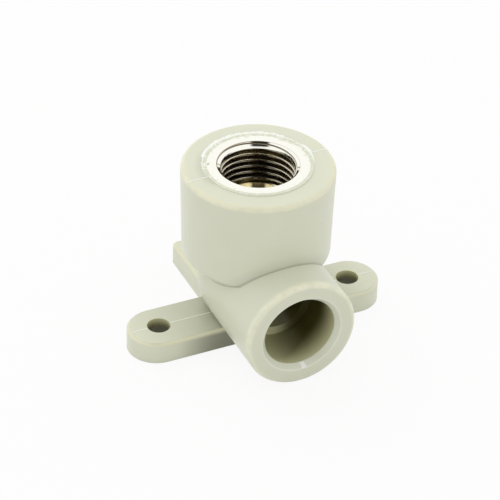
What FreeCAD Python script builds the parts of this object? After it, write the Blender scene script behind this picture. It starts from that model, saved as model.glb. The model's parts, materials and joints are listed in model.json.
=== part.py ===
import FreeCAD, Part

import math
import os

from FreeCAD import Vector

# Wall plate elbow for heat-fused plastic pipe, with a female pipe thread in a metal insert.
# Millimetres. The origin is where the boss axis meets the wall. +Z is the boss axis, the pipe
# socket points along -Y, the two ears along X and the back tab along +Y.

# Wall plate
plate_thickness = 6.1
plate_edge_chamfer = 0.6
ear_half_width = 7.7
ear_reach = 35.3
ear_hole_spacing = 54.0
ear_hole_radius = 3.0
tab_half_width = 9.35
tab_reach = 32.8
tab_corner_round = 1.5

# Pipe socket, whose barrel runs just clear of the wall
socket_height = 15.0
barrel_radius = 14.9
barrel_reach = 28.3
barrel_edge_round = 1.0
socket_bore_radius = 9.65
socket_depth = 14.5
socket_chamfer = 1.25
socket_chamfer_depth = 1.5
waterway_radius = 7.3
waterway_end = 8.0

# Boss
boss_top = 48.8
boss_top_radius = 19.7
boss_top_round = 1.3
boss_foot = 24.3
boss_foot_radius = 19.1
boss_foot_round = 2.0
boss_underside_angle = 45.0

# Plastic lip round the insert
lip_width = 0.9
lip_height = 0.3

# Threaded insert, 1/2 inch parallel pipe thread
thread_minor_radius = 18.631 / 2
insert_face_radius = 13.1
insert_chamfer = 1.25
insert_thread_depth = 12.7
insert_length = 20.0
insert_land = 2.2
insert_groove_radius = 12.3
insert_groove_width = 2.4
insert_collar_radius = 14.8
insert_collar_flats = 12

# How far the cut for a through hole runs past the faces it goes through
cut_overrun = 1.0

# Values worked out from those above
insert_face = boss_top + lip_height
insert_foot = insert_face - insert_length
insert_mouth_radius = thread_minor_radius + insert_chamfer


def rounded_outline(corners, place):
    """Face inside a closed outline of (u, v, radius) corners, put in space by place(u, v)."""
    edges = []
    joints = []
    count = len(corners)
    for i, (u, v, radius) in enumerate(corners):
        here = Vector(u, v, 0)
        before = Vector(corners[i - 1][0], corners[i - 1][1], 0)
        after = Vector(corners[(i + 1) % count][0], corners[(i + 1) % count][1], 0)
        to_before = (before - here).normalize()
        to_after = (after - here).normalize()
        if radius == 0:
            joints.append((here, here, here))
            continue
        half_angle = to_before.getAngle(to_after) / 2
        setback = radius / math.tan(half_angle)
        inward = (to_before + to_after).normalize()
        middle = here + inward * (radius / math.sin(half_angle) - radius)
        joints.append((here + to_before * setback, middle, here + to_after * setback))
    for i, (start, middle, end) in enumerate(joints):
        if start.distanceToPoint(end) > 1e-6:
            points = [place(p.x, p.y) for p in (start, middle, end)]
            edges.append(Part.Arc(*points).toShape())
        following = joints[(i + 1) % count][0]
        if end.distanceToPoint(following) > 1e-6:
            edges.append(Part.makeLine(place(end.x, end.y), place(following.x, following.y)))
    return Part.Face(Part.Wire(edges))


def turned(corners, place, axis_direction, axis_point=Vector(0, 0, 0)):
    """Solid of revolution of a rounded outline about an axis that its first side lies on."""
    return rounded_outline(corners, place).revolve(axis_point, axis_direction, 360)


def about_boss_axis(radius, height):
    return Vector(radius, 0, height)


def about_socket_axis(radius, reach):
    """A point of the socket's section: reach runs from the boss axis out to the socket's face."""
    return Vector(0, -reach, socket_height + radius)


def boss():
    """The thick round boss: a coned underside, a drafted wall and a lip round the insert."""
    lip_radius = insert_face_radius + lip_width
    cone_height = boss_foot - socket_height
    cone_root_radius = boss_foot_radius - cone_height / math.tan(math.radians(boss_underside_angle))
    corners = [
        (0, socket_height, 0),
        (cone_root_radius, socket_height, 0),
        (boss_foot_radius, boss_foot, boss_foot_round),
        (boss_top_radius, boss_top, boss_top_round),
        (lip_radius, boss_top, 0),
        (lip_radius, boss_top + lip_height, 0),
        (0, boss_top + lip_height, 0),
    ]
    return turned(corners, about_boss_axis, Vector(0, 0, 1))


def barrel():
    """The socket's barrel, closed by a dome round the elbow's corner."""
    corner = Vector(0, 0, socket_height)
    corners = [
        (0, 0, 0),
        (barrel_radius, 0, 0),
        (barrel_radius, barrel_reach, barrel_edge_round),
        (0, barrel_reach, 0),
    ]
    level = turned(corners, about_socket_axis, Vector(0, -1, 0), corner)
    return level.fuse(Part.makeSphere(barrel_radius, corner))


def plate_blank(corners):
    """A flat strip of the wall plate with its upper edges chamfered."""
    face = rounded_outline(corners, lambda x, y: Vector(x, y, 0))
    strip = face.extrude(Vector(0, 0, plate_thickness))
    upper = [e for e in strip.Edges if all(abs(v.Z - plate_thickness) < 1e-6 for v in e.Vertexes)]
    return strip.makeChamfer(plate_edge_chamfer, upper)


def wall_plate():
    """Two round-ended ears in one strip, and the square-ended tab behind the boss."""
    ears = plate_blank([(x, y, ear_half_width) for x, y in (
        (-ear_reach, -ear_half_width), (ear_reach, -ear_half_width),
        (ear_reach, ear_half_width), (-ear_reach, ear_half_width))])
    tab = plate_blank([
        (-tab_half_width, 0, 0), (tab_half_width, 0, 0),
        (tab_half_width, tab_reach, tab_corner_round), (-tab_half_width, tab_reach, tab_corner_round)])
    return ears.fuse(tab)


def ear_holes():
    """The two plain screw holes, as the solids that cut them."""
    length = plate_thickness + 2 * cut_overrun
    starts = [Vector(side * ear_hole_spacing / 2, 0, -cut_overrun) for side in (-1, 1)]
    return [Part.makeCylinder(ear_hole_radius, length, start) for start in starts]


def pipe_socket():
    """What the pipe goes into: a chamfered mouth and a bore down to its stop."""
    stop = barrel_reach - socket_depth
    chamfer_start = barrel_reach - socket_chamfer_depth
    mouth = socket_bore_radius + socket_chamfer
    corners = [
        (0, stop, 0),
        (socket_bore_radius, stop, 0),
        (socket_bore_radius, chamfer_start, 0),
        (mouth, barrel_reach, 0),
        (0, barrel_reach, 0),
    ]
    return turned(corners, about_socket_axis, Vector(0, -1, 0), Vector(0, 0, socket_height))


def waterway():
    """The water's path: a level bore from the pipe's stop to just past the boss axis, and a rising one."""
    level_length = waterway_end + barrel_reach - socket_depth
    level = Part.makeCylinder(
        waterway_radius, level_length, Vector(0, waterway_end, socket_height), Vector(0, -1, 0))
    rising = Part.makeCylinder(
        waterway_radius, insert_foot - socket_height, Vector(0, 0, socket_height))
    return level.fuse(rising)


def collar(bottom, height):
    """A many-sided collar, which keeps the insert from turning in the plastic."""
    step = 2 * math.pi / insert_collar_flats
    corners = [
        (insert_collar_radius * math.cos(i * step), insert_collar_radius * math.sin(i * step), 0)
        for i in range(insert_collar_flats)]
    face = rounded_outline(corners, lambda x, y: Vector(x, y, bottom))
    return face.extrude(Vector(0, 0, height))


def insert_blank():
    """Outer form of the insert: a round land at its face, then grooves between two collars."""
    core = Part.makeCylinder(insert_groove_radius, insert_length, Vector(0, 0, insert_foot))
    land = Part.makeCylinder(insert_face_radius, insert_land, Vector(0, 0, insert_face - insert_land))
    below_land = insert_length - insert_land
    collar_height = (below_land - 2 * insert_groove_width) / 2
    lower = collar(insert_foot, collar_height)
    upper = collar(insert_foot + collar_height + insert_groove_width, collar_height)
    return core.fuse([land, lower, upper]).removeSplitter()


def insert_bore():
    """Chamfered thread bore down to its floor, then the waterway through the floor."""
    floor = insert_face - insert_thread_depth
    corners = [
        (0, insert_foot, 0),
        (waterway_radius, insert_foot, 0),
        (waterway_radius, floor, 0),
        (thread_minor_radius, floor, 0),
        (thread_minor_radius, insert_face - insert_chamfer, 0),
        (insert_mouth_radius, insert_face, 0),
        (0, insert_face, 0),
    ]
    return turned(corners, about_boss_axis, Vector(0, 0, 1))


def elbow_body():
    solid = boss().fuse([barrel(), wall_plate()]).removeSplitter()
    return solid.cut([waterway(), pipe_socket(), insert_blank(), *ear_holes()])


def threaded_insert():
    return insert_blank().cut(insert_bore())


def save(name, shape):
    """Write one solid as a STEP file, and stop if it isn't one sound solid."""
    if len(shape.Solids) != 1 or not shape.isValid():
        raise ValueError(f"{name} is not one valid solid: {len(shape.Solids)} solids")
    shape.Solids[0].exportStep(f"parts/{name}.step")
    box = shape.optimalBoundingBox(True, False)
    print(f"{name}: {shape.Volume:.1f} mm3, x {box.XMin:.2f} to {box.XMax:.2f}, "
          f"y {box.YMin:.2f} to {box.YMax:.2f}, z {box.ZMin:.2f} to {box.ZMax:.2f}")


os.makedirs("parts", exist_ok=True)
save("elbow_body", elbow_body())
save("threaded_insert", threaded_insert())
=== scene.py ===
import json
import math

import bmesh
import bpy
from bpy.props import FloatProperty, FloatVectorProperty, IntProperty, PointerProperty
from bpy.types import Operator, Panel, PropertyGroup
from mathutils import Matrix, Vector, noise


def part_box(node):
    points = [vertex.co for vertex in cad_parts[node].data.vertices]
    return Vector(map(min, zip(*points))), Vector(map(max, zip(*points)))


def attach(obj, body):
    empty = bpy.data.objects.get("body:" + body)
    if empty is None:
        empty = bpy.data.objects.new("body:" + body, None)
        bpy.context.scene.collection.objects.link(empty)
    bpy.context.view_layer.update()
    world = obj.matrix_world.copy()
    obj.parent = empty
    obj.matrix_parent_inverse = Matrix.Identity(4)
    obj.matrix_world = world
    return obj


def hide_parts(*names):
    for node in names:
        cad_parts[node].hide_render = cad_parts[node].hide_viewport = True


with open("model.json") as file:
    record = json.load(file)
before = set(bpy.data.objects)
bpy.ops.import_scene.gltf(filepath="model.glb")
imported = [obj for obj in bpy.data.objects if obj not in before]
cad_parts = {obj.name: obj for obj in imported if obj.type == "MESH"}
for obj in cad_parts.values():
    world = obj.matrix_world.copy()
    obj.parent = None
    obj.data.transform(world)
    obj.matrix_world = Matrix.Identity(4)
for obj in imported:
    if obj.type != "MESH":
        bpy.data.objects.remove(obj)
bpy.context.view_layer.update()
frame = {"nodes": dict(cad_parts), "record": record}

bl_info = {
    "name": "Wall plate elbow",
    "version": (1, 0, 0),
    "blender": (4, 5, 0),
    "location": "3D View > Sidebar > Elbow",
    "description": "Dresses a moulded wall plate elbow: plastic, threaded insert, moulding marks and stage",
    "category": "Object",
}

MM = 0.001
UP = Vector((0, 0, 1))

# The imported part's own sizes, in metres
mounts = {mount["name"]: mount for mount in frame["record"]["mounts"]}
bore_radius = mounts["thread"]["dims"]["r_mm"] * MM
socket_radius = mounts["pipe_socket"]["dims"]["r_mm"] * MM
hole_radius = mounts["ear_holes"]["dims"]["hole_r_mm"] * MM
hole_reach = mounts["ear_holes"]["dims"]["spacing_x_mm"] / 2 * MM
plate_top = mounts["ear_holes"]["pos_m"][2]
socket_height = mounts["pipe_socket"]["pos_m"][2]
insert_low, insert_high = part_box("threaded_insert")
body_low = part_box("elbow_body")[0]

# Sizes of the part that its record doesn't state, in millimetres. The boss has its radius a little over
# the foot of its drafted wall, and its coned underside would come to a tip on the axis
LIP_RADIUS, LIP_HEIGHT = 14.0, 0.3
BOSS_RADIUS, CONE_TIP = 19.2, 5.2
BARREL_RADIUS = 14.9
SOCKET_DEPTH = 14.5
SOCKET_CHAMFER, SOCKET_CHAMFER_DEPTH = 1.25, 1.5
WATERWAY_RADIUS, WATERWAY_END = 7.3, 8.0
LAND_RADIUS, LAND_HEIGHT = 13.1, 2.2
GROOVE_RADIUS, GROOVE_WIDTH = 12.3, 2.4
COLLAR_FLATS = 12

lip_top = insert_high.z
boss_top = lip_top - LIP_HEIGHT * MM

# How far the insert's face lies under the lip's top, in millimetres
FACE_DROP = 0.05
# Lower edge of the insert's chamfer: millimetres out from the bore and down from the lip's top
CHAMFER_EDGE = ((0.0, 1.60), (0.03, 1.50), (0.26, 0.99))
# The thread's groove: turns above the mouth, slope of its flanks in degrees, and how far what cuts it
# reaches into the open bore, in millimetres
LEAD_IN = 1.3
FLANK_SLOPE = 27.5
BORE_CLEARANCE = 0.22
# Rounded edge of the thread's crest: along and across the groove's side, in crest rounds
CREST_EDGE = ((-0.03, 0.68), (0.037, 0.34), (0.145, 0.09), (0.316, -0.12), (0.538, -0.28))

# Where the flash round the insert starts, in millimetres from the boss axis: the ridge and the film
RIDGE_ROOT, FILM_ROOT = 13.7, 13.35
# Where the two end: degrees from +X, millimetres from the boss axis
RIDGE_OUTSIDE = (
    (-30, 13.9), (-20, 14.25), (-12, 14.5), (-3, 14.75), (0, 15.1), (12, 15.15), (17, 14.5), (36, 14.5),
    (41, 15.1), (90, 15.3), (120, 15.15), (141, 14.85), (147, 14.45), (160, 14.3), (176, 14.15),
    (190, 13.8), (325, 13.8))
FILM_INSIDE = (
    (0, 12.95), (20, 13.0), (27, 12.75), (34, 12.6), (42, 12.95), (70, 13.0), (77, 12.85), (82, 13.0),
    (150, 13.05), (186, 13.0), (192, 12.9), (198, 13.05), (345, 13.05), (353, 13.0), (356, 12.55),
    (358, 12.95))
# Sections of the two: share of the width, and millimetres from the lip's top
RIDGE_SECTION = (
    (0.0, -0.12), (0.16, -0.10), (0.30, -0.02), (0.40, -0.01), (0.50, -0.06), (0.60, -0.02), (0.70, -0.01),
    (0.80, -0.05), (0.90, -0.13), (0.97, -0.22), (1.0, -0.30), (0.96, -0.42), (0.0, -0.42))
FILM_SECTION = ((0.0, -0.049), (1 / 7, -0.02), (1.0, -0.012), (1.0, -0.2), (0.0, -0.2))
# Where brown residue lies on the insert's face by the flash: middle and half width, in degrees
RESIDUE = ((32.5, 9.0), (78.5, 2.5), (157.0, 2.0), (192.0, 1.5), (356.0, 2.5))

# Runs of a parting line: its strength, then reach along the ears and height, in millimetres
PARTING_RUNS = (
    (1.0, ((14.0, 48.8), (18.4, 48.8), (18.9, 48.7), (19.32, 48.42))),
    (0.28, ((19.32, 48.42), (19.6, 48.0), (19.68, 47.5), (19.12, 25.4), (18.98, 24.8), (18.5, 23.7),
            (14.22, 19.43))),
    (0.8, ((11.95, 6.1), (23.9, 6.1), (24.0, 5.9), (24.0, 5.3))),
    (0.8, ((30.0, 5.3), (30.0, 5.9), (30.1, 6.1), (34.6, 6.1), (34.95, 5.8))))
# Outline of the patch on the socket's chamfer, whose near-white colour is a painted highlight: millimetres
# from the face, degrees round the bore
HIGHLIGHT_PATCH_OUTLINE = ((0.06, 272.6), (0.06, 279.3), (0.6, 279.0), (1.0, 278.4), (1.42, 278.2), (1.42, 271.3),
                (0.7, 271.8))

# Specks moulded into the boss: x, y and height in millimetres, and radius
SPECKS = ((-15.61, -11.21, 48.8, 0.12), (-8.2, -18.03, 48.3, 0.16), (-2.03, -18.75, 48.0, 0.14),
          (-0.6, -16.4, 48.8, 0.10))
# Pale scuffs on the left ear, given as the specks are
SCUFFS = ((-34.32, -1.43, 3.0, 0.35), (-25.8, -7.14, 5.8, 0.3))


def length(text, millimetres, about):
    return FloatProperty(name=text, description=about, default=millimetres * MM, subtype="DISTANCE",
                         unit="LENGTH", precision=5)


def share(text, value, about):
    return FloatProperty(name=text, description=about, default=value, min=0, max=1, subtype="FACTOR")


def colour(text, value, about):
    return FloatVectorProperty(name=text, description=about, default=value, size=3, min=0, max=1,
                               subtype="COLOR")


def angle(text, degrees, about):
    return FloatProperty(name=text, description=about, default=math.radians(degrees), subtype="ANGLE",
                         unit="ROTATION")


class PlasticSettings(PropertyGroup):
    """The moulded plastic of the housing."""
    tint: colour("Plastic", (0.70, 0.715, 0.565), "Colour of the moulded plastic")
    # Painted glow of light shining through thin plastic edges
    painted_edge_glow_tint: colour("Edge plastic", (0.765, 0.745, 0.535), "Colour that shows through thin plastic edges")
    # Painted highlight on the socket's and the boss's rims; torn_plastic also uses it for the stain inside
    # the ring
    rim_highlight_and_stain_tint: colour("Rim", (0.85, 0.84, 0.65), "Colour of the socket's outer rim and the boss's upper edge")
    lip_tint: colour("Lip", (0.66, 0.68, 0.50), "Colour of the thin lip round the insert")
    chamfer_tint: colour("Chamfer", (0.75, 0.77, 0.63), "Colour of the socket's chamfer")
    # Painted warm shade: the colour of light bounced about inside the bores
    bore_tint: colour("Bore plastic", (0.755, 0.735, 0.43), "Colour of the plastic inside the socket")
    # Painted shade: darkens the bores, the corners and the face beside the lip
    painted_shade_tint: colour("Deep plastic", (0.055, 0.050, 0.008), "Colour deep in the bores")
    torn_tint: colour("Torn plastic", (0.93, 0.95, 0.86), "Colour of flash and torn plastic")
    # Painted pool of light on the socket's stop, brightest on its left
    painted_stop_light_tint: colour("Smear", (0.83, 0.85, 0.73), "Colour of the smeared plastic on the socket's stop")
    # Painted highlight on the patch across the socket's chamfer
    painted_highlight_patch_tint: colour("Nick", (0.98, 0.98, 0.89), "Colour of the smeared patch on the socket's chamfer")
    speck_tint: colour("Specks", (0.30, 0.22, 0.10), "Colour of the specks in the plastic")
    roughness: share("Roughness", 0.33, "Roughness of the moulded face")
    mottle: share("Mottle", 0.05, "How strongly the plastic's colour varies")
    edge_round: length("Edge round", 0.16, "Width of the small rounds on moulded edges")


class InsertSettings(PropertyGroup):
    """The nickel-plated threaded insert."""
    pitch: length("Pitch", 1.814, "Rise of the thread in one turn")
    depth: length("Thread depth", 1.162, "Radial depth of a groove")
    crest: length("Crest", 0.302, "Flat width of the thread's crest and root")
    crest_round: length("Crest round", 0.09, "Radius on the crest's two edges")
    turns: FloatProperty(name="Turns", description="Turns of the groove", default=7.5, min=1, max=12)
    phase: angle("Start angle", 262.5, "Where the groove starts above the mouth, from +X")
    chamfer: length("Mouth chamfer", 1.25, "Width and depth of the chamfer at the mouth")
    floor_depth: length("Thread bore depth", 12.7, "From the face to the bore's floor")
    waterway_radius: length("Waterway radius", WATERWAY_RADIUS, "Radius of the hole in the floor")
    facets: IntProperty(name="Facets", description="Facets round the insert", default=128, min=24, max=512)
    nickel_tint: colour("Nickel", (0.975, 0.965, 0.885), "Colour of the plating")
    bore_tint: colour("Nickel in the bore", (0.92, 0.87, 0.72), "Colour of the duller plating on the thread")
    groove_tint: colour("Tarnished groove", (0.33, 0.28, 0.19), "Colour down in the thread's grooves")
    thin_tint: colour("Thin nickel", (0.97, 0.90, 0.66), "Colour of the thin plating on the bore's floor")
    fleck_tint: colour("Flecks", (0.50, 0.42, 0.28), "Colour of the flecks by the flash")


class MarkSettings(PropertyGroup):
    """The flash round the insert and the mould's parting lines."""
    flash_stations: IntProperty(name="Flash stations", description="Stations round the insert's flash",
                                default=720, min=60, max=1440)
    raggedness: length("Raggedness", 0.34, "How far the flash's edges wander")
    line_width: length("Parting line width", 0.26, "Width of the parting line")
    line_height: length("Parting line height", 0.05, "Height of the parting line over the face")


class StageSettings(PropertyGroup):
    """The camera, the white room, the lamp and the floor."""
    camera_azimuth: angle("Camera azimuth", -25.7225, "Direction of the camera round the boss axis")
    camera_elevation: angle("Camera elevation", 35.7274, "Height of the camera over the floor")
    camera_roll: angle("Camera roll", 1.7379, "Turn of the camera about its line of sight")
    camera_distance: length("Camera distance", 692.2856, "From the camera to the part's middle")
    camera_right: length("Camera to the right", -0.92148, "Aim of the camera, to the right")
    camera_up: length("Camera up", 18.23227, "Aim of the camera, up")
    lens: FloatProperty(name="Lens", description="Focal length on a 36 mm sensor", default=190.451,
                        subtype="DISTANCE_CAMERA")
    unlit_side: angle("Unlit side", -25.7, "Direction of the room's narrow unlit side round the boss axis")
    room_light: FloatProperty(name="Room light", description="Strength of the white room on the part",
                              default=0.88, min=0, max=4)
    front_shade: share("Front shade", 0.03, "How much less light comes from the room's unlit side")
    lamp_power: FloatProperty(name="Lamp power", description="Power of the soft lamp overhead", default=4.2,
                              min=0, max=100, subtype="POWER", unit="POWER")
    lamp_size: length("Lamp size", 900, "Side of the square lamp")
    lamp_place: FloatVectorProperty(name="Lamp place", description="Middle of the lamp", size=3,
                                    default=(-0.15, 0.75, 1.12), subtype="TRANSLATION", unit="LENGTH")
    floor_radius: length("Floor radius", 3000, "Radius of the round floor")
    floor_glow: share("Floor glow", 0.9, "How near to white the camera and polished metal see the floor")
    floor_tint: colour("Floor", (0.82, 0.82, 0.81), "Colour of the floor")


# Meshes

def make_piece(name, mesh, material=None, slot=None):
    """Link a finished mesh, and let it ride on the body if it has a finish."""
    piece = bpy.data.objects.new(name, mesh)
    bpy.context.scene.collection.objects.link(piece)
    if material:
        mesh.materials.clear()
        mesh.materials.append(material)
    if slot:
        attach(piece, "root")
    return piece


def mesh_from(name, bm, sharp_degrees=30.0):
    """Turn a bmesh into a mesh whose faces point outwards, smooth up to an angle."""
    bmesh.ops.remove_doubles(bm, verts=bm.verts, dist=1e-7)
    bmesh.ops.recalc_face_normals(bm, faces=bm.faces)
    mesh = bpy.data.meshes.new(name)
    bm.to_mesh(mesh)
    bm.free()
    mesh.shade_smooth()
    mesh.set_sharp_from_angle(angle=math.radians(sharp_degrees))
    return mesh


def section_face(bm, points):
    """One face in the plane y = 0 from (radius, height) points in metres."""
    return bm.faces.new([bm.verts.new((r, 0, z)) for r, z in points])


def ring(points, facets):
    """Closed ring: a section turned all the way round the boss axis."""
    bm = bmesh.new()
    face = section_face(bm, points)
    edges = list(face.edges)
    bm.faces.remove(face)
    bmesh.ops.spin(bm, geom=edges + list(bm.verts), cent=(0, 0, 0), axis=UP, dvec=(0, 0, 0),
                   angle=2 * math.pi, steps=facets, use_merge=True)
    return bm


def extrude(bm, face, shift):
    """Sweep a face into a closed block."""
    swept = bmesh.ops.extrude_face_region(bm, geom=[face])
    moved = [item for item in swept["geom"] if isinstance(item, bmesh.types.BMVert)]
    bmesh.ops.translate(bm, verts=moved, vec=shift)


def combine(target, tool, operation):
    """Join the tool's mesh to the target, or cut it out of it, and remove the tool."""
    modifier = target.modifiers.new("combine", "BOOLEAN")
    modifier.operation = operation
    modifier.solver = "EXACT"
    modifier.object = tool
    graph = bpy.context.evaluated_depsgraph_get()
    made = bpy.data.meshes.new_from_object(target.evaluated_get(graph), depsgraph=graph)
    target.modifiers.remove(modifier)
    old, target.data = target.data, made
    bpy.data.meshes.remove(old)
    bpy.data.objects.remove(tool)


def held(value):
    """The value, held between 0 and 1."""
    return min(1.0, max(0.0, value))


def round_value(table, degrees):
    """Value at an angle, from (degrees, value) pairs that go once round."""
    low = table[0][0]
    here = (degrees - low) % 360 + low
    closed = (*table, (low + 360, table[0][1]))
    for (a, before), (b, after) in zip(closed, closed[1:]):
        if here <= b:
            return before + (after - before) * (here - a) / (b - a)
    return table[0][1]


def thread_start(settings):
    """Height and angle at which the middle of the thread's groove starts, above the mouth."""
    height = lip_top - settings.chamfer - FACE_DROP * MM + LEAD_IN * settings.pitch
    return height, settings.phase + LEAD_IN % 1 * 2 * math.pi


# Materials

class Wiring:
    """Adds nodes to a tree. Every value may be a socket or a number."""

    def __init__(self, tree):
        self.tree = tree

    def add(self, kind, sockets=(), **settings):
        node = self.tree.nodes.new(kind)
        for name, value in settings.items():
            setattr(node, name, value)
        for name, value in dict(sockets).items():
            self.put(value, node.inputs[name])
        return node

    def put(self, value, socket):
        if isinstance(value, bpy.types.NodeSocket):
            self.tree.links.new(value, socket)
        else:
            socket.default_value = value

    def math(self, operation, *values):
        return self.add("ShaderNodeMath", dict(enumerate(values)), operation=operation).outputs[0]

    def vector(self, operation, *values):
        return self.add("ShaderNodeVectorMath", dict(enumerate(values)), operation=operation)

    def span(self, x, y, z):
        """Distance of a point from the origin."""
        point = self.add("ShaderNodeCombineXYZ", {"X": x, "Y": y, "Z": z}).outputs[0]
        return self.vector("LENGTH", point).outputs["Value"]

    def step(self, value, start, end, low=0.0, high=1.0):
        """Smooth step from low at start to high at end."""
        return self.add("ShaderNodeMapRange", {"Value": value, "From Min": start, "From Max": end,
                                               "To Min": low, "To Max": high},
                        interpolation_type="SMOOTHSTEP").outputs[0]

    def band(self, value, low, high, soft):
        """1 while the value lies between low and high."""
        return self.math("MULTIPLY", self.step(value, low - soft, low), self.step(value, high + soft, high))

    def product(self, first, *others):
        for other in others:
            first = self.math("MULTIPLY", first, other)
        return first

    def largest(self, first, *others):
        for other in others:
            first = self.math("MAXIMUM", first, other)
        return first

    def blend(self, factor, first, second):
        """Colour between two colours."""
        return self.add("ShaderNodeMix", {0: factor, 6: first, 7: second}, data_type="RGBA").outputs[2]

    def coats(self, tint, coats):
        """Colour with other colours laid over it in turn, each where its own mask says."""
        tint = (*tint, 1)
        for mask, coat in coats:
            tint = self.blend(mask, tint, (*coat, 1))
        return tint

    def cloud(self, position, scale, detail=3.0, roughness=0.55):
        return self.add("ShaderNodeTexNoise", {"Vector": position, "Scale": scale, "Detail": detail,
                                               "Roughness": roughness}).outputs["Fac"]


def new_group(name, inputs, outputs):
    """Empty shader node group with named sockets."""
    tree = bpy.data.node_groups.new(name, "ShaderNodeTree")
    for text, kind in inputs:
        tree.interface.new_socket(name=text, in_out="INPUT", socket_type="NodeSocket" + kind)
    for text, kind in outputs:
        tree.interface.new_socket(name=text, in_out="OUTPUT", socket_type="NodeSocket" + kind)
    return tree, tree.nodes.new("NodeGroupInput").outputs, tree.nodes.new("NodeGroupOutput").inputs


def moulded_face():
    """Cloudy colour, a few specks and the fine grain of a moulded face. Position is in millimetres."""
    tree, given, made = new_group(
        "moulded face",
        (("Position", "Vector"), ("Colour", "Color"), ("Speck Colour", "Color"), ("Mottle", "Float"),
         ("Roughness", "Float")),
        (("Colour", "Color"), ("Roughness", "Float"), ("Height", "Float")))
    w = Wiring(tree)
    mottle = w.math("SUBTRACT", w.cloud(given["Position"], 0.16, 4.0, 0.62), 0.5)
    swing = w.math("MULTIPLY_ADD", mottle, given["Mottle"], 1.0)
    clouded = w.vector("SCALE", given["Colour"])
    w.put(swing, clouded.inputs["Scale"])
    dots = w.add("ShaderNodeTexVoronoi", {"Vector": given["Position"], "Scale": 0.17})
    chosen = w.add("ShaderNodeSeparateColor", {0: dots.outputs["Color"]})
    speck = w.product(w.step(dots.outputs["Distance"], 0.030, 0.018), w.step(chosen.outputs[0], 0.60, 0.62),
                      0.65)
    w.put(w.blend(speck, clouded.outputs[0], given["Speck Colour"]), made["Colour"])
    w.put(w.math("MULTIPLY_ADD", mottle, 0.14, given["Roughness"]), made["Roughness"])
    grain = w.cloud(given["Position"], 2.4, 3.0, 0.6)
    sink = w.cloud(given["Position"], 0.22, 2.0, 0.5)
    w.put(w.math("MULTIPLY_ADD", sink, 2.5, grain), made["Height"])
    return tree


def streaks():
    """Uneven patches that run across a ring from its inner to its outer edge. Position is in millimetres."""
    tree, given, made = new_group("streaks", (("Position", "Vector"), ("Scale", "Float"), ("Along", "Float")),
                                  (("Amount", "Float"),))
    w = Wiring(tree)
    split = w.add("ShaderNodeSeparateXYZ", {0: given["Position"]})
    flat = w.add("ShaderNodeCombineXYZ", {"X": split.outputs["X"], "Y": split.outputs["Y"]}).outputs[0]
    around = w.vector("NORMALIZE", flat).outputs[0]
    radius = w.vector("LENGTH", flat).outputs["Value"]
    spread = w.vector("SCALE", around)
    w.put(given["Scale"], spread.inputs["Scale"])
    lift = w.add("ShaderNodeCombineXYZ", {"Z": w.math("MULTIPLY", radius, given["Along"])}).outputs[0]
    w.put(w.cloud(w.vector("ADD", spread.outputs[0], lift).outputs[0], 1.0, 3.0, 0.6), made["Amount"])
    return tree


def start_material(name):
    """New material: its wiring, its shader, and Object coordinates in millimetres with their parts."""
    material = bpy.data.materials.new(name)
    material.use_nodes = True
    w = Wiring(material.node_tree)
    scaled = w.vector("SCALE", w.add("ShaderNodeTexCoord").outputs["Object"])
    scaled.inputs["Scale"].default_value = 1 / MM
    position = scaled.outputs[0]
    split = w.add("ShaderNodeSeparateXYZ", {0: position}).outputs
    return material, w, material.node_tree.nodes["Principled BSDF"].inputs, position, split


def finish_plastic(w, shader, settings, face_group, position, tint, roughness, relief):
    """Wire the moulded face and a little translucency to the shader."""
    face = w.add("ShaderNodeGroup",
                 {"Position": position, "Colour": tint, "Mottle": settings.mottle, "Roughness": roughness,
                  "Speck Colour": (*settings.speck_tint, 1)}, node_tree=face_group).outputs
    w.put(face["Colour"], shader["Base Color"])
    w.put(face["Roughness"], shader["Roughness"])
    bump = w.add("ShaderNodeBump", {"Height": face["Height"], "Strength": relief, "Distance": 0.03 * MM})
    w.put(bump.outputs[0], shader["Normal"])
    shader["IOR"].default_value = 1.52
    shader["Subsurface Weight"].default_value = 0.12
    shader["Subsurface Radius"].default_value = (1.0, 0.9, 0.5)
    shader["Subsurface Scale"].default_value = 1.2 * MM


class HousingPlace:
    """Where a point of the housing lies, and where the part's own edges lie, in millimetres."""

    def __init__(self, w, position, x, y, z):
        self.position, self.x, self.y, self.z = position, x, y, z
        self.rise = w.math("SUBTRACT", z, socket_height / MM)
        self.from_boss = w.span(x, y, 0.0)
        self.from_socket = w.span(x, 0.0, self.rise)
        self.from_corner = w.span(x, w.math("MAXIMUM", y, 0.0), self.rise)
        self.from_hole = w.span(w.math("SUBTRACT", w.math("ABSOLUTE", x), hole_reach / MM), y, 0.0)
        self.mouth, self.bore = body_low.y / MM, socket_radius / MM
        self.top, self.plate = boss_top / MM, plate_top / MM


def pale_edges(w, at):
    """Masks of the painted glow on the thin edges of boss and ears, and of the painted highlights on the rims
    of boss and socket.
    """
    top, plate, mouth = at.top, at.plate, at.mouth
    patchy = w.cloud(at.position, 0.35)
    top_edge = w.product(w.band(at.from_boss, BOSS_RADIUS - 0.5, BOSS_RADIUS + 1.8, 0.5),
                         w.step(at.z, top - 1.55, top - 0.7))
    ear_edge = w.product(w.band(at.z, plate - 0.85, plate - 0.08, 0.05),
                         w.step(at.from_corner, BARREL_RADIUS + 0.15, BARREL_RADIUS + 0.6))
    # Painted glow where light shows through the thin edges of boss and ears
    thin = w.product(w.largest(top_edge, ear_edge), w.step(patchy, 0.30, 0.60, 0.35, 0.8))
    upper = w.product(w.step(at.y, mouth + 2.6, mouth + 0.9), w.step(at.rise, -5.0, 1.0))
    lower = w.product(w.step(at.y, mouth + 0.7, mouth + 0.05), w.step(at.rise, -15.0, -8.0, 0.1, 0.8))
    # Painted highlight on the rims of socket and boss
    socket_rim = w.product(w.largest(upper, lower), w.step(at.from_socket, 13.5, 14.4))
    boss_rim = w.product(top_edge, w.step(at.z, top - 0.02, top - 0.4), 0.65)
    rim = w.product(w.largest(socket_rim, boss_rim), w.step(patchy, 0.36, 0.60, 0.5, 0.95))
    return thin, rim


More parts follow.
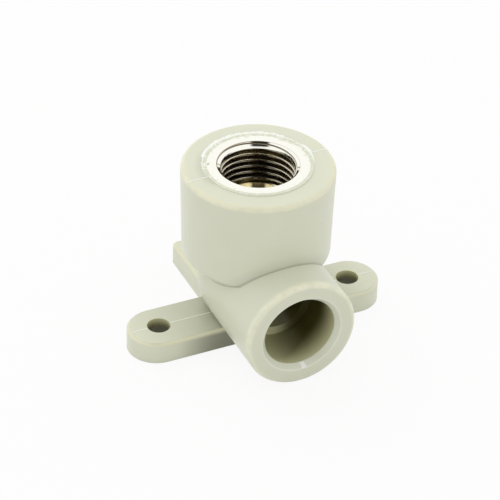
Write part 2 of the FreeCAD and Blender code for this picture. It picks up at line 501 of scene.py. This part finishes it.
def lip_masks(w, at):
    """Masks of the lip round the insert, its torn patches, the painted light on its foot, and the painted
    shade on its left.
    """
    top, out = at.top, at.from_boss
    lip = w.product(w.band(out, LAND_RADIUS - 0.2, LIP_RADIUS - 0.05, 0.1),
                    w.step(at.z, top + 0.05, top + 0.2))
    torn = w.product(lip, w.step(w.cloud(at.position, 0.9), 0.46, 0.62), w.step(at.y, -6.0, 4.0, 0.25, 0.6))
    # Painted light on the lip's foot, lightening the shade along it
    foot = w.product(w.band(out, LIP_RADIUS - 0.07, LIP_RADIUS + 0.2, 0.05),
                     w.band(at.z, top - 0.05, top + 0.22, 0.05))
    along = w.math("MULTIPLY_ADD", at.x, -0.956, w.product(at.y, 0.292))
    shade = w.product(w.step(out, LIP_RADIUS + 2.8, LIP_RADIUS),
                      w.band(at.z, top - 0.1, top + 0.1, 0.05),
                      w.step(w.math("DIVIDE", along, out), 0.75, 0.95, 0.03, 0.17))
    return lip, torn, foot, shade


def bore_masks(w, at):
    """Masks of the socket's chamfer, the pale line at its outer edge, the painted light on its stop, the
    painted warm shade on the bores' walls, and the painted shade down their depths.
    """
    mouth, bore, out = at.mouth, at.bore, at.from_socket
    chamfer_end, chamfer_rim = mouth + SOCKET_CHAMFER_DEPTH, bore + SOCKET_CHAMFER
    stop, foot = mouth + SOCKET_DEPTH, insert_low.z / MM
    chamfer = w.product(w.step(at.y, chamfer_end + 0.1, chamfer_end - 0.05),
                        w.band(out, bore + 0.07, chamfer_rim - 0.05, 0.06))
    # Pale line round the chamfer's outer edge
    pale_mouth_edge = w.product(w.step(at.y, mouth + 0.35, mouth + 0.1),
                     w.band(out, chamfer_rim - 0.18, chamfer_rim + 0.1, 0.1))
    # Painted pool of light on the socket's stop, brightest on its left; it also lifts the painted shade there
    painted_lit_stop = w.product(w.band(at.y, stop - 0.1, stop + 0.1, 0.1),
                        w.band(out, WATERWAY_RADIUS + 0.15, bore - 0.05, 0.1),
                        w.step(at.x, 4.0, -3.0))
    in_hole = w.step(at.from_hole, hole_radius / MM + 0.12, hole_radius / MM + 0.04)
    # Painted warm shade on the socket's wall and in the ear holes
    wall = w.product(w.step(out, bore + 0.1, bore + 0.02),
                     w.step(at.y, chamfer_end - 0.2, chamfer_end + 0.5),
                     w.step(at.y, WATERWAY_END + 0.8, WATERWAY_END + 0.4))
    # Painted shade that darkens with depth down the socket, the waterway and the ear holes
    depth = w.math("MINIMUM", w.step(at.y, mouth - 1.0, mouth + 10.0), w.step(at.x, -8.0, 6.5, 0.25, 1.0))
    level = w.product(w.step(out, bore + 0.3, bore + 0.1), depth,
                      w.step(at.y, chamfer_end - 0.3, chamfer_end + 0.2),
                      w.step(at.y, WATERWAY_END + 0.4, WATERWAY_END + 0.1),
                      w.math("MULTIPLY_ADD", painted_lit_stop, -0.95, 1.0))
    rising = w.product(w.step(at.from_boss, WATERWAY_RADIUS + 0.4, WATERWAY_RADIUS + 0.1),
                       w.step(at.z, foot + 0.5, foot + 0.1))
    down_hole = w.product(in_hole, w.step(at.z, at.plate + 0.5, at.plate - 3.0, 0.1, 0.9))
    return chamfer, pale_mouth_edge, painted_lit_stop, w.largest(wall, in_hole), w.largest(level, rising, down_hole)


def corner_shade(w, at):
    """Mask of the soft shade on the ears near the barrel and in the corner of boss and barrel."""
    left = w.step(at.x, 0.0, -9.0)
    ear_front = w.product(w.step(at.x, -27.0, -13.0), left, w.step(at.z, 6.0, 4.5),
                          w.band(at.y, -9.0, -6.0, 0.5))
    ear_top = w.product(w.band(at.z, at.plate - 0.2, at.plate + 0.9, 0.2), w.band(at.y, -7.0, 7.0, 0.4))
    left_top = w.product(w.step(at.x, -31.0, -7.0), left, ear_top, 0.6)
    both_tops = w.product(w.step(w.math("ABSOLUTE", at.x), 40.0, 12.5), ear_top, 0.4)
    boss_wall = w.math("MINIMUM", BOSS_RADIUS, w.math("SUBTRACT", at.z, CONE_TIP))
    off_boss = w.math("SUBTRACT", at.from_boss, boss_wall)
    off_barrel = w.math("SUBTRACT", at.from_corner, BARREL_RADIUS)
    fading = w.math("ADD", w.step(off_barrel, 0.7, 0.0, 0.0, 0.29), w.step(off_barrel, 3.5, 0.0, 0.0, 0.19))
    seam = w.product(fading, w.band(off_boss, -0.6, 0.05, 0.5), w.step(off_barrel, -0.8, -0.3))
    return w.largest(ear_front, left_top, both_tops, seam)


def housing_plastic(settings, face_group):
    """The housing's plastic, with painted light on its thin edges, rims and socket stop, and painted shade in
    its corners and down its bores.
    """
    material, w, shader, position, axes = start_material("housing_plastic")
    at = HousingPlace(w, position, *axes)
    thin, rim = pale_edges(w, at)
    lip, torn, foot, lip_shade = lip_masks(w, at)
    chamfer, pale_mouth_edge, stop, painted_warm_shade, deep = bore_masks(w, at)
    # Painted light: the edge glow, the rims, the lip's foot and the lit stop. Painted shade: the lip's left
    # side, the bores' warm walls, the corners and the depths
    coats = [
        (thin, settings.painted_edge_glow_tint), (rim, settings.rim_highlight_and_stain_tint), (w.product(lip, 0.7), settings.lip_tint),
        (torn, settings.torn_tint), (w.product(foot, 0.4), settings.torn_tint),
        (lip_shade, settings.painted_shade_tint), (w.product(chamfer, 0.6), settings.chamfer_tint),
        (w.product(stop, 0.9), settings.painted_stop_light_tint), (w.product(pale_mouth_edge, 0.4), settings.torn_tint),
        (w.product(painted_warm_shade, 0.85), settings.bore_tint),
        (w.product(corner_shade(w, at), 0.65), settings.painted_shade_tint), (deep, settings.painted_shade_tint)]
    for spots, spot_tint in ((SPECKS, settings.speck_tint), (SCUFFS, settings.torn_tint)):
        for *middle, size in spots:
            from_spot = w.span(*(w.math("SUBTRACT", axis, place) for axis, place in zip(axes, middle)))
            coats.append((w.step(from_spot, size, size * 0.4, 0.0, 0.6), spot_tint))
    tint = w.coats(settings.tint, coats)
    finish_plastic(w, shader, settings, face_group, position, tint, settings.roughness, 0.35)
    return material


def torn_plastic(settings, face_group):
    """Flash and torn plastic, paler and rougher than the moulded face, stained inside the ring, and near
    white on the socket's chamfer as a painted highlight.
    """
    _, w, shader, position, (x, y, z) = start_material("torn_plastic")
    # Painted highlight on the patch across the socket's chamfer
    painted_highlight_patch = w.step(y, -20.0, -25.0)
    stained = w.product(w.step(w.span(x, y, 0.0), LAND_RADIUS + 0.3, LAND_RADIUS), w.step(y, -6.0, 4.0),
                        w.step(z, 40.0, 45.0))
    tint = w.coats(settings.torn_tint, ((painted_highlight_patch, settings.painted_highlight_patch_tint), (stained, settings.rim_highlight_and_stain_tint)))
    finish_plastic(w, shader, settings, face_group, position, tint, 0.5, 0.8)


def run_in(w, settings, around, radius, z):
    """Mask of the scratch that the thread's groove leaves where it runs in over the chamfer."""
    start, begin = thread_start(settings)
    face, bore, mouth = lip_top / MM, bore_radius / MM, (bore_radius + settings.chamfer) / MM
    turned = w.math("MULTIPLY_ADD", around, -0.5 / math.pi, begin / (2 * math.pi) % 1 - 0.5)
    turned = w.math("ADD", w.math("FRACT", w.math("ADD", turned, 2.0)), 0.5)
    middle = w.math("MULTIPLY_ADD", turned, -settings.pitch / MM, start / MM)
    return w.product(w.band(w.math("SUBTRACT", z, middle), -0.13, 0.13, 0.07),
                     w.step(z, face - 0.1, face - 0.2), w.band(radius, bore + 0.1, mouth + 0.1, 0.1))


def residue(w, position, around, radius, x, y, z):
    """Mask of the brown residue on the insert's face, which gathers where the table says."""
    streak = w.add("ShaderNodeGroup", {"Position": position, "Scale": 14.0, "Along": 0.5},
                   node_tree=streaks()).outputs[0]
    gathered = 0.0
    for middle, half in RESIDUE:
        aim = w.math("COSINE", w.math("SUBTRACT", around, math.radians(middle)))
        end, full = (math.cos(math.radians(half * wide)) for wide in (1.3, 0.5))
        gathered = w.math("MAXIMUM", gathered, w.step(aim, end, full))
    film = w.product(w.step(w.math("ADD", streak, w.product(gathered, 0.08)), 0.60, 0.66),
                     w.step(radius, 12.0, 12.8))
    flat = w.vector("NORMALIZE", w.add("ShaderNodeCombineXYZ", {"X": x, "Y": y}).outputs[0]).outputs[0]
    edge = w.math("SUBTRACT", radius, w.math("MULTIPLY_ADD", w.cloud(flat, 9.0, 4.0), 1.3, 12.0))
    outline = w.product(w.band(edge, -0.06, 0.06, 0.06), gathered, w.step(streak, 0.38, 0.50))
    on_face = w.step(z, lip_top / MM - 0.3, lip_top / MM - 0.1)
    return w.product(w.largest(film, outline), on_face, w.math("MULTIPLY_ADD", gathered, 0.65, 0.25))


def nickel_plate(settings):
    """Bright nickel, duller on the thread and thin over the brass on the bore's floor."""
    material, w, shader, position, (x, y, z) = start_material("nickel_plate")
    shader["Metallic"].default_value = 1.0
    face, floor = lip_top / MM, (lip_top - settings.floor_depth) / MM
    bore, mouth = bore_radius / MM, (bore_radius + settings.chamfer) / MM
    radius = w.span(x, y, 0.0)
    around = w.math("ARCTAN2", y, x)
    down_bore = w.step(z, face - 1.5, face - 3.0)
    on_floor = w.step(z, floor + 1.8, floor + 0.1)
    in_groove = w.product(w.band(radius, bore + 0.22, bore + 1.3, 0.15), w.step(z, face - 1.1, face - 2.2),
                          w.step(z, floor + 0.9, floor + 1.8))
    behind = w.math("COSINE", w.math("SUBTRACT", around, math.radians(150)))
    rim = w.product(w.band(radius, mouth - 0.16, mouth + 0.02, 0.05), w.step(z, face - 0.35, face - 0.12),
                    w.step(behind, -0.3, 0.7, 0.25, 1.0))
    marked = w.largest(w.product(run_in(w, settings, around, radius, z), 0.8), rim)
    fleck = residue(w, position, around, radius, x, y, z)
    tint = w.coats(settings.nickel_tint, (
        (down_bore, settings.bore_tint), (in_groove, settings.groove_tint), (on_floor, settings.thin_tint),
        (marked, settings.groove_tint), (fleck, settings.fleck_tint)))
    w.put(tint, shader["Base Color"])
    on_chamfer = w.product(w.band(z, face - 1.3, face - 0.12, 0.05),
                           w.step(radius, mouth + 0.02, mouth - 0.04))
    dull = w.math("ADD", w.math("MULTIPLY_ADD", fleck, 0.3, 0.06),
                  w.math("MULTIPLY_ADD", on_chamfer, -0.01, w.product(in_groove, 0.08)))
    w.put(w.math("MULTIPLY_ADD", w.cloud(position, 0.45, 4.0), 0.10, dull), shader["Roughness"])
    turning = w.add("ShaderNodeCombineXYZ", {"X": radius, "Z": z}).outputs[0]
    bump = w.add("ShaderNodeBump", {"Height": w.cloud(turning, 5.0, 2.0), "Strength": 0.1,
                                    "Distance": 0.01 * MM})
    w.put(bump.outputs[0], shader["Normal"])
    return material


class ELBOW_OT_housing(Operator):
    """Give the housing its plastic and soften its moulded edges"""
    bl_idname = "elbow.housing"
    bl_label = "Housing"

    def execute(self, context):
        settings = context.scene.elbow_plastic
        housing = frame["nodes"]["elbow_body"]
        face_group = moulded_face()
        material = housing_plastic(settings, face_group)
        torn_plastic(settings, face_group)
        for place in housing.material_slots:
            place.material = material
        weld = housing.modifiers.new("weld", "WELD")
        weld.merge_threshold = 0.002 * MM
        rounds = housing.modifiers.new("rounds", "BEVEL")
        rounds.width = settings.edge_round
        rounds.segments = 3
        rounds.limit_method = "ANGLE"
        rounds.angle_limit = math.radians(32)
        return {"FINISHED"}


class ELBOW_OT_insert(Operator):
    """Turn the insert and cut its thread"""
    bl_idname = "elbow.insert"
    bl_label = "Threaded insert"

    def execute(self, context):
        settings = context.scene.elbow_insert
        water, mouth = settings.waterway_radius, bore_radius + settings.chamfer
        foot, floor, face = insert_low.z, lip_top - settings.floor_depth, lip_top - FACE_DROP * MM
        land, land_foot = LAND_RADIUS * MM, lip_top - LAND_HEIGHT * MM
        groove, groove_width = GROOVE_RADIUS * MM, GROOVE_WIDTH * MM
        section = [(water, foot), (water, floor), (bore_radius, floor)]
        section += [(bore_radius + out * MM, lip_top - down * MM) for out, down in CHAMFER_EDGE]
        section += [(mouth - 0.07 * MM, face - 0.02 * MM), (mouth - 0.02 * MM, face), (land, face),
                    (land, land_foot), (groove, land_foot), (groove, foot)]
        insert = make_piece("insert_thread_ring", mesh_from("insert", ring(section, settings.facets)))
        combine(insert, make_piece("groove", self.groove(settings, floor)), "DIFFERENCE")
        collar_height = (land_foot - foot - 2 * groove_width) / 2
        # The collars start a little inside the groove's wall, so that they join it
        root, tip = groove - 0.3 * MM, insert_high.x
        for low in (foot, foot + collar_height + groove_width):
            high = low + collar_height
            collar = ring([(root, low), (tip, low), (tip, high), (root, high)], COLLAR_FLATS)
            combine(insert, make_piece("collar", mesh_from("collar", collar)), "UNION")
        mesh = insert.data
        mesh.shade_smooth()
        mesh.set_sharp_from_angle(angle=math.radians(15))
        mesh.materials.clear()
        mesh.materials.append(nickel_plate(settings))
        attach(insert, "root")
        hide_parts("threaded_insert")
        return {"FINISHED"}

    def groove_section(self, settings):
        """Section of the groove: out from the bore, and up or down from the groove's middle."""
        flank = math.tan(math.radians(FLANK_SLOPE))
        half, root_half = (settings.pitch - settings.crest) / 2, settings.crest / 2
        depth, ease, edge = settings.depth, 0.06 * MM, settings.crest_round
        side = [(-BORE_CLEARANCE * MM, half + 0.105 * MM)]
        for along, across in CREST_EDGE:
            side.append((along * edge, half + across * edge))
        last, drop = CREST_EDGE[-1]
        side.append((last * edge + 0.03 * MM, half + drop * edge - 0.03 * MM * flank))
        side += [(depth - ease, root_half + ease * flank), (depth, root_half - ease)]
        return side + [(out, -up) for out, up in reversed(side)]

    def groove(self, settings, floor):
        """What the thread's groove leaves open, wound down from above the mouth to the bore's floor."""
        start, begin = thread_start(settings)
        bm = bmesh.new()
        section = self.groove_section(settings)
        face = section_face(bm, [(bore_radius + out, start + up) for out, up in section])
        bmesh.ops.rotate(bm, verts=bm.verts, cent=(0, 0, 0), matrix=Matrix.Rotation(begin, 3, "Z"))
        bmesh.ops.spin(bm, geom=[face, *face.edges, *face.verts], cent=(0, 0, 0), axis=-UP,
                       dvec=-UP * settings.pitch / settings.facets, angle=2 * math.pi * settings.turns,
                       steps=round(settings.turns * settings.facets))
        inside, lowest = bore_radius - BORE_CLEARANCE * MM, floor + 0.02 * MM
        fade_from, fade_over = floor + 0.75 * settings.pitch, 0.8 * settings.pitch
        # Up on the chamfer the groove is narrower, and only scratches its face
        whole_from, whole_over, narrow, scratch = lip_top - 0.9 * MM, 0.7 * MM, 0.35, 0.26
        for vert in bm.verts:
            flat = Vector((vert.co.x, vert.co.y, 0))
            fade = held(1 - (fade_from - vert.co.z) / fade_over)
            radius = inside + (flat.length - inside) * fade
            turned = (begin - math.atan2(flat.y, flat.x)) / (2 * math.pi) % 1
            turned += round((start - vert.co.z) / settings.pitch - turned)
            middle = start - turned * settings.pitch
            whole = held((whole_from - middle) / whole_over)
            height = middle + (vert.co.z - middle) * (narrow + (1 - narrow) * whole)
            if whole < 1:
                on_chamfer = bore_radius + max(0.0, height - (lip_top - settings.chamfer))
                radius = min(radius, on_chamfer + (scratch + whole) * MM)
            vert.co = flat.normalized() * radius + UP * max(height, lowest)
        return mesh_from("groove", bm)


class ELBOW_OT_marks(Operator):
    """Model the flash round the insert, the mould's parting lines and a patch on the socket's chamfer that
    carries a painted highlight
    """
    bl_idname = "elbow.marks"
    bl_label = "Moulding marks"

    def execute(self, context):
        settings = context.scene.elbow_marks
        torn = bpy.data.materials["torn_plastic"]
        for name, mesh in (("insert_flash_outer", self.outer_flash(settings)),
                           ("insert_flash_inner", self.inner_flash(settings)),
                           ("parting_line_left", self.parting_line(settings, -1)),
                           ("parting_line_right", self.parting_line(settings, 1)),
                           ("socket_highlight_patch", self.socket_highlight_patch())):
            mesh.name = name
            make_piece(name, mesh, torn, "body_plastic")
        return {"FINISHED"}

    def shape_ring(self, bm, near, far, inside, outside, reshape):
        """Stretch a ring between two tables of radii, then reshape each point."""
        for vert in bm.verts:
            flat = Vector((vert.co.x, vert.co.y, 0))
            around = flat.normalized()
            share_out = (flat.length - near) / (far - near)
            degrees = math.degrees(math.atan2(around.y, around.x))
            low, high = round_value(inside, degrees) * MM, round_value(outside, degrees) * MM
            radius, height = reshape(around, share_out, low + (high - low) * share_out, vert.co.z)
            vert.co = around * radius + UP * min(height, lip_top - 0.002 * MM)

    def outer_flash(self, settings):
        """The rough ridge outside the lip, wide behind the insert and nearly nothing in front."""
        near, far = RIDGE_ROOT * MM, 15.0 * MM
        bm = ring([(near + out * (far - near), lip_top + drop * MM) for out, drop in RIDGE_SECTION],
                  settings.flash_stations)

        def reshape(around, share_out, radius, height):
            outer = max(0.0, share_out - 0.4)
            wander = noise.noise(around * 5.0) + 0.7 * noise.noise(around * 15.0)
            chatter = noise.noise(around * 34.0 + Vector((0, 0, 3)))
            # 0 where the ridge is too narrow to show beside the lip
            exposed = held(((radius - near) / max(share_out, 0.2) - 0.3 * MM) / (0.4 * MM))
            radius += settings.raggedness * outer * exposed * (wander + chatter)
            if height > boss_top + 0.02 * MM:
                lumps = noise.noise(around * 15.0 + UP * share_out * 3)
                grit = noise.noise(around * 38.0 - UP * share_out * 4)
                height += (0.20 * lumps + 0.12 * grit - 0.06) * MM * min(1.0, 4 * share_out)
                height -= 0.12 * MM * (1 - exposed)
            return radius, height

        self.shape_ring(bm, near, far, ((0, RIDGE_ROOT),), RIDGE_OUTSIDE, reshape)
        return mesh_from("flash", bm, 60.0)

    def inner_flash(self, settings):
        """The thin film that creeps over the insert's edge."""
        near, far = 13.0 * MM, FILM_ROOT * MM
        bm = ring([(near + out * (far - near), lip_top + drop * MM) for out, drop in FILM_SECTION],
                  settings.flash_stations)

        def reshape(around, share_out, radius, height):
            wander = noise.noise(around * 9.0 + UP) + 0.8 * noise.noise(around * 34.0)
            return radius - 0.6 * settings.raggedness * max(0.0, 1 - share_out) * wander, height

        self.shape_ring(bm, near, far, FILM_INSIDE, ((0, FILM_ROOT),), reshape)
        return mesh_from("flash", bm, 45.0)

    def parting_line(self, settings, side):
        """Thin ridge that follows one side of the housing in the plane of the ears."""
        sunk = 0.15 * MM
        bm = bmesh.new()
        for strength, run in PARTING_RUNS:
            half = settings.line_width / 2 * strength
            points = [Vector((side * x * MM, 0, z * MM)) for x, z in run]
            ridge, root = [], []
            for i, point in enumerate(points):
                along = (points[min(i + 1, len(points) - 1)] - points[max(i - 1, 0)]).normalized()
                outward = Vector((-along.z, 0, along.x)) * side
                tall = settings.line_height * strength * (0.75 + 0.5 * noise.noise(point * 400))
                ridge.append(point + outward * tall)
                root.append(point - outward * sunk)
            near = [bm.verts.new(p - Vector((0, half, 0))) for p in ridge + root[::-1]]
            extrude(bm, bm.faces.new(near), (0, 2 * half, 0))
        return mesh_from("parting_line", bm, 40.0)

    def socket_highlight_patch(self):
        """A shallow tapered patch across the chamfer of the pipe socket; its near-white colour is a painted
        highlight.
        """
        bm = bmesh.new()
        slope, sunk = SOCKET_CHAMFER / SOCKET_CHAMFER_DEPTH, 0.03 * MM
        points = []
        for reach, degrees in HIGHLIGHT_PATCH_OUTLINE:
            radius = socket_radius + (SOCKET_CHAMFER_DEPTH - reach) * MM * slope - sunk
            turn = math.radians(degrees)
            points.append(bm.verts.new((radius * math.cos(turn), body_low.y + reach * MM,
                                        socket_height + radius * math.sin(turn))))
        extrude(bm, bm.faces.new(points), (0, 0.1 * MM, -0.14 * MM))
        bmesh.ops.recalc_face_normals(bm, faces=bm.faces)
        bmesh.ops.bevel(bm, geom=list(bm.edges), offset=0.02 * MM, segments=2, profile=0.5, affect="EDGES",
                        material=-1)
        return mesh_from("nick", bm, 40.0)


class ELBOW_OT_stage(Operator):
    """Set the camera, the white room, the lamp and the floor"""
    bl_idname = "elbow.stage"
    bl_label = "Stage"

    def execute(self, context):
        settings = context.scene.elbow_stage
        self.camera(context, settings)
        self.room(context, settings)
        self.lamp(context, settings)
        bm = bmesh.new()
        bmesh.ops.create_circle(bm, cap_ends=True, segments=96, radius=settings.floor_radius)
        bmesh.ops.translate(bm, verts=bm.verts, vec=(0, 0, body_low.z - 0.02 * MM))
        floor = make_piece("floor", mesh_from("floor", bm), self.floor_material(settings))
        if floor.data.polygons[0].normal.z < 0:
            floor.data.flip_normals()
        context.scene.view_settings.view_transform = "Standard"
        return {"FINISHED"}

    def camera(self, context, settings):
        """Camera in the place and turn that the settings give."""
        azimuth, elevation, roll = settings.camera_azimuth, settings.camera_elevation, settings.camera_roll
        back = Vector((math.sin(azimuth) * math.cos(elevation), -math.cos(azimuth) * math.cos(elevation),
                       math.sin(elevation)))
        level = Vector((math.cos(azimuth), math.sin(azimuth), 0))
        upright = back.cross(level)
        right = math.cos(roll) * level + math.sin(roll) * upright
        up = math.cos(roll) * upright - math.sin(roll) * level
        eye = bpy.data.objects.new("camera", bpy.data.cameras.new("camera"))
        context.scene.collection.objects.link(eye)
        eye.data.lens = settings.lens
        eye.data.sensor_width = 36
        eye.data.clip_start, eye.data.clip_end = 0.01, 20
        place = right * settings.camera_right + up * settings.camera_up + back * settings.camera_distance
        eye.matrix_world = Matrix.Translation(place) @ Matrix((right, up, back)).transposed().to_4x4()
        context.scene.camera = eye

    def floor_material(self, settings):
        """Pale floor that the camera and polished metal see nearly white, with the part's shadow kept."""
        material = bpy.data.materials.new("pale_floor")
        material.use_nodes = True
        w = Wiring(material.node_tree)
        diffuse = material.node_tree.nodes["Principled BSDF"]
        diffuse.inputs["Base Color"].default_value = (*settings.floor_tint, 1)
        diffuse.inputs["Roughness"].default_value = 0.9
        diffuse.inputs["Specular IOR Level"].default_value = 0.0
        glow = w.add("ShaderNodeEmission", {"Strength": 1.0})
        path = w.add("ShaderNodeLightPath").outputs
        seen = w.product(w.largest(path["Is Camera Ray"], path["Is Glossy Ray"], path["Is Transmission Ray"]),
                         settings.floor_glow)
        mix = w.add("ShaderNodeMixShader", {0: seen, 1: diffuse.outputs[0], 2: glow.outputs[0]})
        w.put(mix.outputs[0], material.node_tree.nodes["Material Output"].inputs["Surface"])
        return material

    def room(self, context, settings):
        """White room with one narrow unlit side, which only polished metal shows."""
        world = bpy.data.worlds.new("room")
        context.scene.world = world
        world.use_nodes = True
        w = Wiring(world.node_tree)
        aim = w.add("ShaderNodeTexCoord").outputs["Generated"]
        side = settings.unlit_side
        across = w.vector("DOT_PRODUCT", aim, (math.cos(side), math.sin(side), 0)).outputs["Value"]
        ahead = w.vector("DOT_PRODUCT", aim, (math.sin(side), -math.cos(side), 0)).outputs["Value"]
        above = w.add("ShaderNodeSeparateXYZ", {0: aim}).outputs["Z"]
        # Edges of the unlit side, as shares of a direction of length 1
        left, right, soft_edge = -0.27, 0.21, 0.14
        foot, head, darkness = 0.16, 0.32, 0.98
        unlit = w.product(w.band(across, left, right, soft_edge), w.step(ahead, -0.20, -0.10),
                          w.step(above, foot, head), darkness)
        path = w.add("ShaderNodeLightPath").outputs
        shown = w.math("MAXIMUM", path["Is Glossy Ray"], path["Is Transmission Ray"])
        lit = w.math("SUBTRACT", 1.0, unlit)
        soft = w.math("MULTIPLY_ADD", ahead, -settings.front_shade * settings.room_light, settings.room_light)
        indoors = w.add("ShaderNodeMix", {0: shown, 2: soft, 3: lit}).outputs[0]
        strength = w.add("ShaderNodeMix", {0: path["Is Camera Ray"], 2: indoors, 3: 1.0}).outputs[0]
        w.put(strength, world.node_tree.nodes["Background"].inputs["Strength"])
        world.node_tree.nodes["Background"].inputs["Color"].default_value = (1, 1, 1, 1)

    def lamp(self, context, settings):
        """One large soft lamp overhead, behind the part."""
        light = bpy.data.lights.new("lamp", "AREA")
        light.shape = "SQUARE"
        light.size = settings.lamp_size
        light.energy = settings.lamp_power
        holder = bpy.data.objects.new("lamp", light)
        context.scene.collection.objects.link(holder)
        holder.location = settings.lamp_place
        holder.visible_glossy = False
        holder.rotation_euler = UP.rotation_difference(holder.location).to_euler()


class VIEW3D_PT_elbow(Panel):
    """Lists what dresses the elbow."""
    bl_label = "Wall plate elbow"
    bl_space_type = "VIEW_3D"
    bl_region_type = "UI"
    bl_category = "Elbow"

    def draw(self, context):
        for operator, group in (("elbow.housing", "elbow_plastic"), ("elbow.insert", "elbow_insert"),
                                ("elbow.marks", "elbow_marks"), ("elbow.stage", "elbow_stage")):
            box = self.layout.box()
            box.operator(operator)
            settings = getattr(context.scene, group)
            for name in settings.__annotations__:
                box.prop(settings, name)


SETTINGS = {"elbow_plastic": PlasticSettings, "elbow_insert": InsertSettings, "elbow_marks": MarkSettings,
            "elbow_stage": StageSettings}
CLASSES = (*SETTINGS.values(), ELBOW_OT_housing, ELBOW_OT_insert, ELBOW_OT_marks, ELBOW_OT_stage,
           VIEW3D_PT_elbow)


def register():
    for kind in CLASSES:
        bpy.utils.register_class(kind)
    for name, kind in SETTINGS.items():
        setattr(bpy.types.Scene, name, PointerProperty(type=kind))


def unregister():
    for name in SETTINGS:
        delattr(bpy.types.Scene, name)
    for kind in reversed(CLASSES):
        bpy.utils.unregister_class(kind)


def main():
    register()
    bpy.ops.elbow.housing()
    bpy.ops.elbow.insert()
    bpy.ops.elbow.marks()
    bpy.ops.elbow.stage()


if __name__ == "__main__":
    main()
